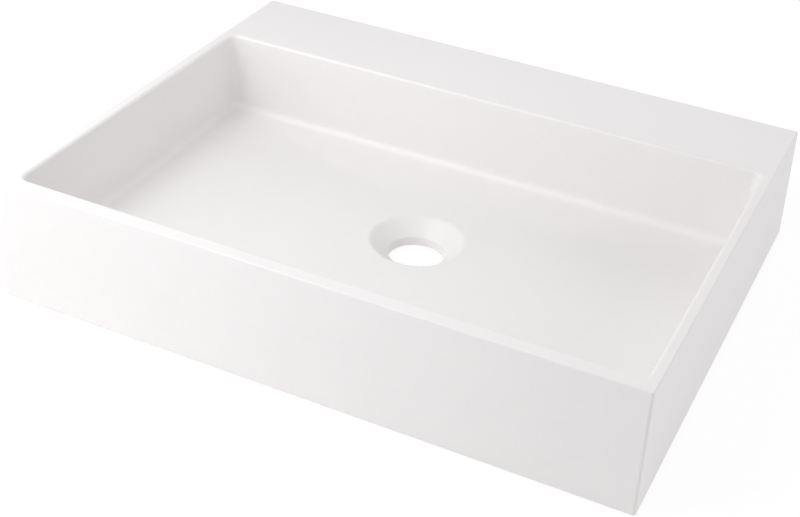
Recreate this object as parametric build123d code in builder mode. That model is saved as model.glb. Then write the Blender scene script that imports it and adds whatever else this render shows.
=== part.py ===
from build123d import *
from math import atan2, radians, tan
import os

os.makedirs("parts", exist_ok=True)

# A counter-top wash basin cast in one piece from granite composite, which is quartz sand bound
# with resin. The rim runs thin round the left, front and right of the bowl, and widens at the
# back into a flat ledge for a tap. From below the casting is a hollow shell that stands on the
# feet of its outer walls, with six thin silicone pads between it and the counter.
# Millimetres. X runs to the basin's right, Y to its back, Z up. The origin is on the counter,
# under the middle of the basin.

# Outline of the casting
base_length = 500.0  # left to right, at the foot of the outer walls
base_depth = 400.0  # front to back, at the foot of the outer walls
wall_lean = 3.0  # how far each outer wall leans in between its foot and the rim
outer_corner_radius = 2.0
rim_outer_radius = 1.0
rim_inner_radius = 3.0  # softer, where the rim turns down into the bowl
foot_edge_radius = 1.0

# Bowl
side_rim = 8.5  # width of the rim left and right of the bowl
front_rim = 12.7
ledge_depth = 85.0  # width of the rim at the back, where the tap stands
bowl_depth = 70.0  # from the rim down to the foot of the bowl's walls
bowl_draft = 1.5  # degrees that the bowl's walls lean off the vertical
bowl_corner_radius = 8.0  # of its upright corners, and of the foot of its walls
floor_fall = 7.0  # from the foot of the walls down to the flat round the drain
floor_corner_radius = 36.0  # the soft creases of the floor open out to this radius at the drain

# Drain
drain_from_front = 200.0  # from the foot of the front wall to the drain's axis
bore_diameter = 46.0
bore_length = 7.5
bore_edge_radius = 1.5
recess_diameter = 76.0  # mouth of the cone that takes the flange of a waste
recess_depth = 12.0
lip_radius = 6.0
lip_to_crease = 2.0  # flat left between the rounded lip and the planes of the floor
boss_wall = 11.0  # thickness of the boss round the bore
boss_draft = 2.0
boss_gap = 0.5  # the boss ends this far above the feet of the outer walls

# Hollow underneath
foot_width = 12.0  # thickness of the outer walls, and of the ring that the basin stands on
floor_thickness = 9.0
back_wall_thickness = 9.0  # between the bowl and the hollow ledge
ledge_thickness = 12.0
hollow_corner_radius = 6.0
hollow_edge_radius = 4.0
rib_thickness = 8.0  # two ribs cross the hollow ledge, one each side of the tap
rib_from_middle = 70.0
rib_draft = 1.0
tap_blank_diameter = 35.0  # sunk from below, and knocked through where a tap is fitted
tap_blank_skin = 5.0  # left whole above the blank

# Self-adhesive pads under the feet
pad_diameter = 8.0
pad_thickness = 1.0
pad_from_corner = 18.0

# An edge is picked for rounding by its radius and its level, each to within this.
edge_match = 0.01

# Levels, from the counter up
foot_level = pad_thickness
boss_level = foot_level + boss_gap
bore_top = boss_level + bore_length
floor_low = bore_top + recess_depth
floor_high = floor_low + floor_fall
rim_level = floor_high + bowl_depth
hollow_ceiling = floor_high - floor_thickness
ledge_ceiling = rim_level - ledge_thickness

# Places in plan
drain_y = drain_from_front - base_depth / 2
bore_radius = bore_diameter / 2
recess_radius = recess_diameter / 2
boss_radius = bore_radius + boss_wall
lip_turn = atan2(recess_depth, recess_radius - bore_radius)
drain_flat = recess_radius + lip_radius * tan(lip_turn / 2) + lip_to_crease
ledge_front = base_depth / 2 - wall_lean - ledge_depth
tap_y = base_depth / 2 - wall_lean - ledge_depth / 2


def lean_at(level):
    """How far the outer walls have come in at this level."""
    return wall_lean * (level - foot_level) / (rim_level - foot_level)


def draft_at(level):
    """How far the bowl's walls have come in at this level."""
    return (rim_level - level) * tan(radians(bowl_draft))


def outer_walls(level, inside=0.0):
    """Left, right, front and back of the outer walls, or of lines that run inside them."""
    inset = lean_at(level) + inside
    half_length = base_length / 2 - inset
    half_depth = base_depth / 2 - inset
    return -half_length, half_length, -half_depth, half_depth


def bowl_walls(level, inside=0.0):
    """Left, right, front and back of the bowl's walls, or of lines that run inside them."""
    inset = draft_at(level) + inside
    half_length = base_length / 2 - wall_lean - side_rim - inset
    front = wall_lean + front_rim + inset - base_depth / 2
    return -half_length, half_length, front, ledge_front - inset


def leaning_block(low, low_sides, high, high_sides):
    """A block with four flat sides, each at its own slope, between two levels."""
    low_left, low_right, low_front, low_back = low_sides
    high_left, high_right, high_front, high_back = high_sides
    with BuildPart() as block:
        with BuildSketch(Plane.XZ):
            Polygon(
                (low_left, low), (low_right, low), (high_right, high), (high_left, high), align=None
            )
        extrude(amount=base_depth, both=True)
        with BuildSketch(Plane.YZ):
            Polygon(
                (low_front, low), (low_back, low), (high_back, high), (high_front, high), align=None
            )
        extrude(amount=base_length, both=True, mode=Mode.INTERSECT)
    return block.part


def sloping_edges(block):
    """The edges of a leaning block that run from its low level to its high one."""
    return block.edges().filter_by(Plane.XY, reverse=True)


def round_edges(casting, radius, level):
    """The circular edges of a casting that have this radius and lie at this level."""
    level_edges = casting.edges().filter_by_position(Axis.Z, level - edge_match, level + edge_match)
    return level_edges.filter_by(
        lambda edge: edge.geom_type == GeomType.CIRCLE and abs(edge.radius - radius) < edge_match
    )


def ledge_bay(left_rib, right_rib):
    """One bay of the hollow inside the ledge. None stands for a side wall in place of a rib."""
    low = hollow_ceiling - hollow_edge_radius
    sides = []
    for level in (low, ledge_ceiling):
        half_rib = rib_thickness / 2 + (level - low) * tan(radians(rib_draft))
        left, right, _, back = outer_walls(level, foot_width)
        if left_rib is not None:
            left = left_rib + half_rib
        if right_rib is not None:
            right = right_rib - half_rib
        sides.append((left, right, bowl_walls(level)[3] + back_wall_thickness, back))
    with BuildPart() as bay:
        add(leaning_block(low, sides[0], ledge_ceiling, sides[1]))
        fillet(sloping_edges(bay), hollow_corner_radius)
        fillet(bay.faces().sort_by(Axis.Z)[-1].edges(), hollow_edge_radius)
    return bay.part


# The four planes of the bowl's floor, as a solid wedge that runs down to a flat square round the
# drain. It starts where the rounding at the foot of the walls ends. Two blocks that cross make
# the planes, and four ruled corners between them make the soft creases, which are narrow at the
# corners of the bowl and open out towards the drain.
floor_top = bowl_walls(floor_high, bowl_corner_radius)
drain_square = (-drain_flat, drain_flat, drain_y - drain_flat, drain_y + drain_flat)


def drawn_in(sides, along_length, along_depth):
    """The same four sides, drawn in by one distance along the length and another along the depth."""
    left, right, front, back = sides
    return left + along_length, right - along_length, front + along_depth, back - along_depth


def soft_crease(low_corner, high_corner, to_right, to_back):
    """The rounded corner of the wedge, between an arc round the drain and one at a wall's foot."""
    with BuildPart() as crease:
        for level, corner, radius in (
            (floor_low, low_corner, floor_corner_radius),
            (floor_high, high_corner, bowl_corner_radius),
        ):
            centre = (corner[0] - to_right * radius, corner[1] - to_back * radius)
            on_side = (corner[0], centre[1])
            on_end = (centre[0], corner[1])
            with BuildSketch(Plane.XY.offset(level)):
                with BuildLine():
                    Line(centre, on_side)
                    RadiusArc(on_side, on_end, -to_right * to_back * radius)
                    Line(on_end, centre)
                make_face()
        loft(ruled=True)
    return crease.part


with BuildPart() as floor_wedge:
    for low_in, high_in in (
        ((floor_corner_radius, 0), (bowl_corner_radius, 0)),
        ((0, floor_corner_radius), (0, bowl_corner_radius)),
    ):
        low_sides = drawn_in(drain_square, *low_in)
        high_sides = drawn_in(floor_top, *high_in)
        add(leaning_block(floor_low, low_sides, floor_high, high_sides))
    for side, to_right in ((0, -1), (1, 1)):
        for end, to_back in ((2, -1), (3, 1)):
            low_corner = (drain_square[side], drain_square[end])
            high_corner = (floor_top[side], floor_top[end])
            add(soft_crease(low_corner, high_corner, to_right, to_back))

# The space inside the bowl, down to the flat round the drain
with BuildPart() as bowl_space:
    add(leaning_block(floor_high, bowl_walls(floor_high), rim_level, bowl_walls(rim_level)))
    bowl_foot = bowl_space.faces().sort_by(Axis.Z)[0].edges()
    fillet(sloping_edges(bowl_space) + bowl_foot, bowl_corner_radius)
    add(floor_wedge.part)

# The hollow under the bowl's floor, and the three bays of the hollow inside the ledge
with BuildPart() as hollow_space:
    add(
        leaning_block(
            foot_level,
            outer_walls(foot_level, foot_width),
            hollow_ceiling,
            outer_walls(hollow_ceiling, foot_width),
        )
    )
    fillet(sloping_edges(hollow_space), hollow_corner_radius)
    fillet(hollow_space.faces().sort_by(Axis.Z)[-1].edges(), hollow_edge_radius)
    add(ledge_bay(None, -rib_from_middle))
    add(ledge_bay(-rib_from_middle, rib_from_middle))
    add(ledge_bay(rib_from_middle, None))

# The casting
with BuildPart() as basin_casting:
    add(leaning_block(foot_level, outer_walls(foot_level), rim_level, outer_walls(rim_level)))
    fillet(sloping_edges(basin_casting), outer_corner_radius)
    add(hollow_space.part, mode=Mode.SUBTRACT)
    # The underside of the floor runs parallel to its four planes.
    under_low = floor_low - floor_thickness
    under_high = floor_high - floor_thickness
    add(leaning_block(under_low, drain_square, under_high, floor_top))
    add(bowl_space.part, mode=Mode.SUBTRACT)

    # The boss round the drain comes down almost to the counter.
    with BuildSketch(Plane.XY.offset(boss_level)):
        with Locations((0, drain_y)):
            Circle(boss_radius)
    extrude(amount=floor_low - floor_thickness / 2 - boss_level, taper=-boss_draft)

    # The drain is a cone for the flange of a waste, and a plain bore below it.
    with BuildSketch(Plane(origin=(0, drain_y, 0), x_dir=(1, 0, 0), z_dir=(0, -1, 0))):
        with BuildLine():
            Polyline(
                (0, boss_level),
                (bore_radius, boss_level),
                (bore_radius, bore_top),
                (recess_radius, floor_low),
                (0, floor_low),
                close=True,
            )
        make_face()
    revolve(axis=Axis((0, drain_y, 0), (0, 0, 1)), mode=Mode.SUBTRACT)
    fillet(round_edges(basin_casting, recess_radius, floor_low), lip_radius)
    fillet(round_edges(basin_casting, bore_radius, bore_top), bore_edge_radius)

    # The blank for a tap's hole is sunk into the ledge from below.
    with BuildSketch(Plane.XY.offset(ledge_ceiling)):
        with Locations((0, tap_y)):
            Circle(tap_blank_diameter / 2)
    extrude(amount=ledge_thickness - tap_blank_skin, mode=Mode.SUBTRACT)

    # The rim is rounded on both edges, and the foot on its outer edge.
    rim_face = basin_casting.faces().sort_by(Axis.Z)[-1]
    fillet(rim_face.inner_wires()[0].edges(), rim_inner_radius)
    rim_face = basin_casting.faces().sort_by(Axis.Z)[-1]
    fillet(rim_face.outer_wire().edges(), rim_outer_radius)
    fillet(basin_casting.faces().sort_by(Axis.Z)[0].outer_wire().edges(), foot_edge_radius)

basin_casting.part.label = "basin_casting"
export_step(basin_casting.part, "parts/basin_casting.step")

# Thin silicone pads are stuck under the feet, three along the front and three along the back.
pad_x = base_length / 2 - pad_from_corner
pad_y = base_depth / 2 - foot_width / 2
for row, y in (("front", -pad_y), ("back", pad_y)):
    for place, x in (("left", -pad_x), ("middle", 0), ("right", pad_x)):
        with BuildPart() as pad:
            with BuildSketch():
                with Locations((x, y)):
                    Circle(pad_diameter / 2)
            extrude(amount=pad_thickness)
        pad.part.label = f"counter_pad_{row}_{place}"
        export_step(pad.part, f"parts/{pad.part.label}.step")
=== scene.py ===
from math import cos, radians, sin

import bpy
from mathutils import Matrix, Vector


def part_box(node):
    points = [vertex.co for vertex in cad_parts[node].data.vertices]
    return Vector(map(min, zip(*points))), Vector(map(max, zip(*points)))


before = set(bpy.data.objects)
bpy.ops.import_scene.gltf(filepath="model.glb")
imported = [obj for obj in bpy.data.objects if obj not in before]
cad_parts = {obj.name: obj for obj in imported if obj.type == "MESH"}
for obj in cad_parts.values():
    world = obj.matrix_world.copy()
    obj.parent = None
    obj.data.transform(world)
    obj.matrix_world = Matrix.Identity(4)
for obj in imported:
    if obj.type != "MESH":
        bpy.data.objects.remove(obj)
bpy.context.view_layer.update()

# The basin itself. It is cast in one piece from quartz sand bound with white resin. The face
# that came off the polished mould is even and satin. The back of the casting is duller and
# coarser, and the feet of its walls are ground flat, which lays the grain open.
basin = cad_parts["basin_casting"]
foot_corner, rim_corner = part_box("basin_casting")

stone_white = (0.868, 0.848, 0.847, 1.0)
stone_back = (0.78, 0.77, 0.765, 1.0)
face_tones = (0.975, 1.02)  # darkest and lightest grain, as shares of the colour
back_tones = (0.9, 1.06)
grain_size = 0.0007
coarse_grain_size = 0.0018
mottle_size = 0.022
grain_share = 0.6  # of the tone, and the slow drift has the rest
glint_from = 0.86  # the brightest grains, from this share up, glint
stone_gloss_index = 1.5
polish_roughness = 0.42
glint_roughness = 0.3
back_roughness = 0.72
ground_roughness = 0.85
grain_relief = 0.00002
grain_relief_strength = 0.25

# Where one finish gives way to the next, in metres
ground_depth = 0.0004  # how far up the grinding of the feet shows
wall_middle = 0.006  # of the outer walls, from their outer faces in
hollow_top = 0.0195  # of the hollow under the bowl
bay_front = 0.1175  # of the hollow in the ledge
bay_top = 0.091
bore_wall = 0.0285  # radius that parts the bore from the outside of its boss


def node_group(name, inputs, outputs):
    """An empty shader node group with these inputs and outputs, and its two end nodes."""
    group = bpy.data.node_groups.new(name, "ShaderNodeTree")
    for socket_name, kind, value in inputs:
        socket = group.interface.new_socket(socket_name, in_out="INPUT", socket_type=kind)
        if value is not None:
            socket.default_value = value
    for socket_name, kind in outputs:
        group.interface.new_socket(socket_name, in_out="OUTPUT", socket_type=kind)
    return group, group.nodes.new("NodeGroupInput"), group.nodes.new("NodeGroupOutput")


def math_node(tree, operation, first, second=None, clamp=False):
    """A Math node. Its inputs are sockets or plain numbers. Returns its output."""
    node = tree.nodes.new("ShaderNodeMath")
    node.operation = operation
    node.use_clamp = clamp
    for place, source in enumerate((first, second)):
        if source is None:
            continue
        if isinstance(source, (int, float)):
            node.inputs[place].default_value = source
        else:
            tree.links.new(source, node.inputs[place])
    return node.outputs[0]


def map_range(tree, source, from_low, from_high, to_low, to_high):
    """A clamped Map Range node from one span of values to another. Returns its output."""
    node = tree.nodes.new("ShaderNodeMapRange")
    tree.links.new(source, node.inputs["Value"])
    for socket, value in (
        ("From Min", from_low),
        ("From Max", from_high),
        ("To Min", to_low),
        ("To Max", to_high),
    ):
        node.inputs[socket].default_value = value
    return node.outputs["Result"]


# Grains of quartz that show through the resin, and the slow drift in tone from one part of the
# pour to the next
grain_group, grain_in, grain_out = node_group(
    "quartz_grain",
    [
        ("Vector", "NodeSocketVector", None),
        ("Grain", "NodeSocketFloat", grain_size),
        ("Mottle", "NodeSocketFloat", mottle_size),
    ],
    [("Tone", "NodeSocketFloat"), ("Glint", "NodeSocketFloat"), ("Height", "NodeSocketFloat")],
)
grain_cells = grain_group.nodes.new("ShaderNodeTexVoronoi")
grain_cells.feature = "F1"
grain_group.links.new(grain_in.outputs["Vector"], grain_cells.inputs["Vector"])
grain_scale = math_node(grain_group, "DIVIDE", 1.0, grain_in.outputs["Grain"])
grain_group.links.new(grain_scale, grain_cells.inputs["Scale"])
grain_pick = grain_group.nodes.new("ShaderNodeSeparateColor")
grain_group.links.new(grain_cells.outputs["Color"], grain_pick.inputs["Color"])

mottle_noise = grain_group.nodes.new("ShaderNodeTexNoise")
mottle_noise.inputs["Detail"].default_value = 3.0
mottle_noise.inputs["Roughness"].default_value = 0.55
grain_group.links.new(grain_in.outputs["Vector"], mottle_noise.inputs["Vector"])
mottle_scale = math_node(grain_group, "DIVIDE", 1.0, grain_in.outputs["Mottle"])
grain_group.links.new(mottle_scale, mottle_noise.inputs["Scale"])

grain_tone = math_node(grain_group, "MULTIPLY", grain_pick.outputs["Red"], grain_share)
mottle_tone = math_node(grain_group, "MULTIPLY", mottle_noise.outputs["Fac"], 1.0 - grain_share)
tone = math_node(grain_group, "ADD", grain_tone, mottle_tone, clamp=True)
grain_group.links.new(tone, grain_out.inputs["Tone"])
glint = map_range(grain_group, grain_pick.outputs["Green"], glint_from, 1.0, 0.0, 1.0)
grain_group.links.new(glint, grain_out.inputs["Glint"])
grain_height = math_node(grain_group, "SUBTRACT", 1.0, grain_cells.outputs["Distance"])
grain_group.links.new(grain_height, grain_out.inputs["Height"])


def place_group(tree, group, **values):
    """Places a node group in a material, with its own values."""
    node = tree.nodes.new("ShaderNodeGroup")
    node.node_tree = group
    for socket, value in values.items():
        node.inputs[socket].default_value = value
    return node


def mix_colour(tree, share, first, second):
    """A mix of two colours, each a socket or a plain colour, by a socket's share."""
    node = tree.nodes.new("ShaderNodeMix")
    node.data_type = "RGBA"
    tree.links.new(share, node.inputs["Factor"])
    for socket, source in zip((node.inputs[6], node.inputs[7]), (first, second)):
        if isinstance(source, tuple):
            socket.default_value = source
        else:
            tree.links.new(source, socket)
    return node.outputs[2]


stone = bpy.data.materials.new("granite_composite")
stone.use_nodes = True
stone_tree = stone.node_tree
stone_shader = stone_tree.nodes["Principled BSDF"]
stone_shader.inputs["IOR"].default_value = stone_gloss_index

stone_place = stone_tree.nodes.new("ShaderNodeTexCoord")
fine_grain = place_group(stone_tree, grain_group, Grain=grain_size, Mottle=mottle_size)
coarse_grain = place_group(stone_tree, grain_group, Grain=coarse_grain_size, Mottle=mottle_size)
for placed in (fine_grain, coarse_grain):
    stone_tree.links.new(stone_place.outputs["Object"], placed.inputs["Vector"])

# The back of the casting is everything that faces the counter, and the walls of its hollows.
faces_down_from, faces_down_full = -0.2, -0.5  # height of a unit normal
faces_up_from = 0.1
stone_normal = stone_tree.nodes.new("ShaderNodeNewGeometry")
stone_facing = stone_tree.nodes.new("ShaderNodeSeparateXYZ")
stone_tree.links.new(stone_normal.outputs["True Normal"], stone_facing.inputs["Vector"])
faces_down = map_range(stone_tree, stone_facing.outputs["Z"], faces_down_from, faces_down_full, 0.0, 1.0)
not_up = math_node(stone_tree, "LESS_THAN", stone_facing.outputs["Z"], faces_up_from)

stone_spot = stone_tree.nodes.new("ShaderNodeSeparateXYZ")
stone_tree.links.new(stone_place.outputs["Object"], stone_spot.inputs["Vector"])
spot_x, spot_y, spot_z = (stone_spot.outputs[axis] for axis in ("X", "Y", "Z"))
from_middle_x = math_node(stone_tree, "ABSOLUTE", spot_x)
from_middle_y = math_node(stone_tree, "ABSOLUTE", spot_y)
within_x = math_node(stone_tree, "LESS_THAN", from_middle_x, rim_corner[0] - wall_middle)
within_y = math_node(stone_tree, "LESS_THAN", from_middle_y, rim_corner[1] - wall_middle)
within_walls = math_node(stone_tree, "MULTIPLY", within_x, within_y)
below_floor = math_node(stone_tree, "LESS_THAN", spot_z, hollow_top)
below_ledge = math_node(stone_tree, "LESS_THAN", spot_z, bay_top)
behind_bowl = math_node(stone_tree, "GREATER_THAN", spot_y, bay_front)
in_bay = math_node(stone_tree, "MULTIPLY", below_ledge, behind_bowl)
in_hollow = math_node(stone_tree, "MAXIMUM", below_floor, in_bay)
in_hollow = math_node(stone_tree, "MULTIPLY", in_hollow, within_walls)
in_hollow = math_node(stone_tree, "MULTIPLY", in_hollow, not_up)
from_drain_x = math_node(stone_tree, "POWER", from_middle_x, 2.0)
from_drain_y = math_node(stone_tree, "POWER", from_middle_y, 2.0)
from_drain = math_node(stone_tree, "ADD", from_drain_x, from_drain_y)
outside_bore = math_node(stone_tree, "GREATER_THAN", from_drain, bore_wall**2)
in_hollow = math_node(stone_tree, "MULTIPLY", in_hollow, outside_bore)
underside = math_node(stone_tree, "MAXIMUM", faces_down, in_hollow)

# The ground feet are the roughest part of the casting, with bright grains laid open in them.
foot_level = foot_corner[2]
ground = map_range(stone_tree, spot_z, foot_level + ground_depth, foot_level, 0.0, 1.0)
ground = math_node(stone_tree, "MULTIPLY", ground, faces_down)


def shades(colour, tones):
    """The darkest and the lightest shade of a colour."""
    return [tuple(channel * tone for channel in colour[:3]) + (1.0,) for tone in tones]


face_colour = mix_colour(stone_tree, fine_grain.outputs["Tone"], *shades(stone_white, face_tones))
back_colour = mix_colour(stone_tree, coarse_grain.outputs["Tone"], *shades(stone_back, back_tones))
stone_colour = mix_colour(stone_tree, underside, face_colour, back_colour)
ground_colour = mix_colour(stone_tree, fine_grain.outputs["Glint"], stone_back, stone_white)
stone_colour = mix_colour(stone_tree, ground, stone_colour, ground_colour)
stone_tree.links.new(stone_colour, stone_shader.inputs["Base Color"])

face_roughness = map_range(
    stone_tree, fine_grain.outputs["Glint"], 0.0, 1.0, polish_roughness, glint_roughness
)
roughness_gain = math_node(stone_tree, "MULTIPLY", underside, back_roughness - polish_roughness)
stone_roughness = math_node(stone_tree, "ADD", face_roughness, roughness_gain)
ground_gain = math_node(stone_tree, "MULTIPLY", ground, ground_roughness - back_roughness)
stone_roughness = math_node(stone_tree, "ADD", stone_roughness, ground_gain)
stone_tree.links.new(stone_roughness, stone_shader.inputs["Roughness"])

stone_bump = stone_tree.nodes.new("ShaderNodeBump")
stone_bump.inputs["Strength"].default_value = grain_relief_strength
stone_bump.inputs["Distance"].default_value = grain_relief
stone_tree.links.new(fine_grain.outputs["Height"], stone_bump.inputs["Height"])
stone_tree.links.new(stone_bump.outputs["Normal"], stone_shader.inputs["Normal"])

basin.data.materials.clear()
basin.data.materials.append(stone)

# Six self-adhesive pads of clear silicone keep the stone off the counter. They are die-cut from
# 1 mm sheet and pressed on to the ground feet, three along the front and three along the back.
silicone_low = (0.78, 0.79, 0.80, 1.0)
silicone_high = (0.86, 0.87, 0.88, 1.0)
silicone_clearness = 0.35
silicone_roughness = 0.35
silicone_cloud_scale = 900.0

silicone = bpy.data.materials.new("pad_silicone")
silicone.use_nodes = True
silicone_tree = silicone.node_tree
silicone_shader = silicone_tree.nodes["Principled BSDF"]
silicone_shader.inputs["IOR"].default_value = 1.41
silicone_shader.inputs["Transmission Weight"].default_value = silicone_clearness
silicone_shader.inputs["Roughness"].default_value = silicone_roughness
silicone_place = silicone_tree.nodes.new("ShaderNodeTexCoord")
silicone_cloud = silicone_tree.nodes.new("ShaderNodeTexNoise")
silicone_cloud.inputs["Scale"].default_value = silicone_cloud_scale
silicone_tree.links.new(silicone_place.outputs["Object"], silicone_cloud.inputs["Vector"])
silicone_colour = mix_colour(
    silicone_tree, silicone_cloud.outputs["Fac"], silicone_low, silicone_high
)
silicone_tree.links.new(silicone_colour, silicone_shader.inputs["Base Color"])
for row in ("front", "back"):
    for place in ("left", "middle", "right"):
        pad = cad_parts[f"counter_pad_{row}_{place}"]
        pad.data.materials.clear()
        pad.data.materials.append(silicone)

# The counter that the basin stands on, as a plain white plane. It catches the basin's shadow and
# shows white elsewhere, and from below it is clear, so that the basin's underside can be seen.
counter_reach = 6.0
counter_grey = (0.9, 0.9, 0.9, 1.0)
white_show = 0.8  # share of plain white in what the camera sees, and the rest is lit and shaded
white_strength = 1.08
counter_mesh = bpy.data.meshes.new("counter")
counter_mesh.from_pydata(
    [
        (-counter_reach, -counter_reach, 0),
        (counter_reach, -counter_reach, 0),
        (counter_reach, counter_reach, 0),
        (-counter_reach, counter_reach, 0),
    ],
    [],
    [(0, 1, 2, 3)],
)
counter = bpy.data.objects.new("counter", counter_mesh)
bpy.context.scene.collection.objects.link(counter)

paint = bpy.data.materials.new("counter_white")
paint.use_nodes = True
paint_tree = paint.node_tree
paint_tree.nodes.clear()
paint_diffuse = paint_tree.nodes.new("ShaderNodeBsdfDiffuse")
paint_diffuse.inputs["Color"].default_value = counter_grey
paint_white = paint_tree.nodes.new("ShaderNodeEmission")
paint_white.inputs["Strength"].default_value = white_strength
paint_paths = paint_tree.nodes.new("ShaderNodeLightPath")
paint_seen = math_node(
    paint_tree, "MAXIMUM", paint_paths.outputs["Is Camera Ray"], paint_paths.outputs["Is Glossy Ray"]
)
paint_seen = math_node(paint_tree, "MAXIMUM", paint_seen, paint_paths.outputs["Is Transmission Ray"])
paint_share = math_node(paint_tree, "MULTIPLY", paint_seen, white_show)
paint_mix = paint_tree.nodes.new("ShaderNodeMixShader")
paint_tree.links.new(paint_share, paint_mix.inputs["Fac"])
paint_tree.links.new(paint_diffuse.outputs["BSDF"], paint_mix.inputs[1])
paint_tree.links.new(paint_white.outputs["Emission"], paint_mix.inputs[2])
paint_clear = paint_tree.nodes.new("ShaderNodeBsdfTransparent")
paint_side = paint_tree.nodes.new("ShaderNodeNewGeometry")
paint_cut = paint_tree.nodes.new("ShaderNodeMixShader")
paint_tree.links.new(paint_side.outputs["Backfacing"], paint_cut.inputs["Fac"])
paint_tree.links.new(paint_mix.outputs["Shader"], paint_cut.inputs[1])
paint_tree.links.new(paint_clear.outputs["BSDF"], paint_cut.inputs[2])
paint_out = paint_tree.nodes.new("ShaderNodeOutputMaterial")
paint_tree.links.new(paint_cut.outputs["Shader"], paint_out.inputs["Surface"])
counter_mesh.materials.append(paint)

# Studio light: an even white surround, a soft lamp close by in front and to the left, and weak
# ones farther off on the left, on the right and behind
surround_level = 0.54
world = bpy.data.worlds.new("surround")
bpy.context.scene.world = world
world.use_nodes = True
world_tree = world.node_tree
world_light = world_tree.nodes["Background"]
world_light.inputs["Color"].default_value = (1.0, 1.0, 1.0, 1.0)
world_paths = world_tree.nodes.new("ShaderNodeLightPath")
world_seen = math_node(
    world_tree, "MAXIMUM", world_paths.outputs["Is Camera Ray"], world_paths.outputs["Is Glossy Ray"]
)
world_seen = math_node(world_tree, "MAXIMUM", world_seen, world_paths.outputs["Is Transmission Ray"])
world_level = map_range(world_tree, world_seen, 0.0, 1.0, surround_level, 1.0)
world_tree.links.new(world_level, world_light.inputs["Strength"])


def soft_lamp(name, place, aim, size, watts):
    """A square area lamp that faces a point."""
    lamp = bpy.data.lights.new(name, "AREA")
    lamp.size = size
    lamp.energy = watts
    lamp_object = bpy.data.objects.new(name, lamp)
    lamp_object.location = place
    lamp_object.rotation_euler = (Vector(aim) - Vector(place)).to_track_quat("-Z", "Y").to_euler()
    bpy.context.scene.collection.objects.link(lamp_object)


soft_lamp("front_left_lamp", (-0.394, -0.475, 0.66), (-0.11, 0, 0.05), 0.48, 3.2)
soft_lamp("far_left_lamp", (-1.3, -0.8, 0.55), (0, 0, 0.05), 0.9, 4.4)
soft_lamp("right_lamp", (1.5, 0, 0.6), (0, 0, 0.05), 0.9, 3.5)
soft_lamp("back_lamp", (0, 2, 1.0), (0, 0, 0.05), 2.0, 7.0)

# The camera stands in front of the basin and to its right, and looks down into the bowl. Its place
# and its lens were worked out from the straight edges in the photograph.
camera_turn = radians(23.759)
camera_drop = radians(32.989)
camera_roll = radians(3.702)
camera_distance = 1.16239
camera_aim = Vector((-0.01288, -0.00218, 0.0))
camera_lens = 64.704
camera_sensor = 36.0
sight = Vector(
    (-sin(camera_turn) * cos(camera_drop), cos(camera_turn) * cos(camera_drop), -sin(camera_drop))
)
camera = bpy.data.cameras.new("camera")
camera.sensor_width = camera_sensor
camera.lens = camera_lens
camera_object = bpy.data.objects.new("camera", camera)
camera_object.location = camera_aim - sight * camera_distance
camera_object.rotation_euler = (
    sight.to_track_quat("-Z", "Y").to_matrix() @ Matrix.Rotation(camera_roll, 3, "Z")
).to_euler()
bpy.context.scene.collection.objects.link(camera_object)
bpy.context.scene.camera = camera_object

bpy.context.scene.view_settings.view_transform = "Standard"
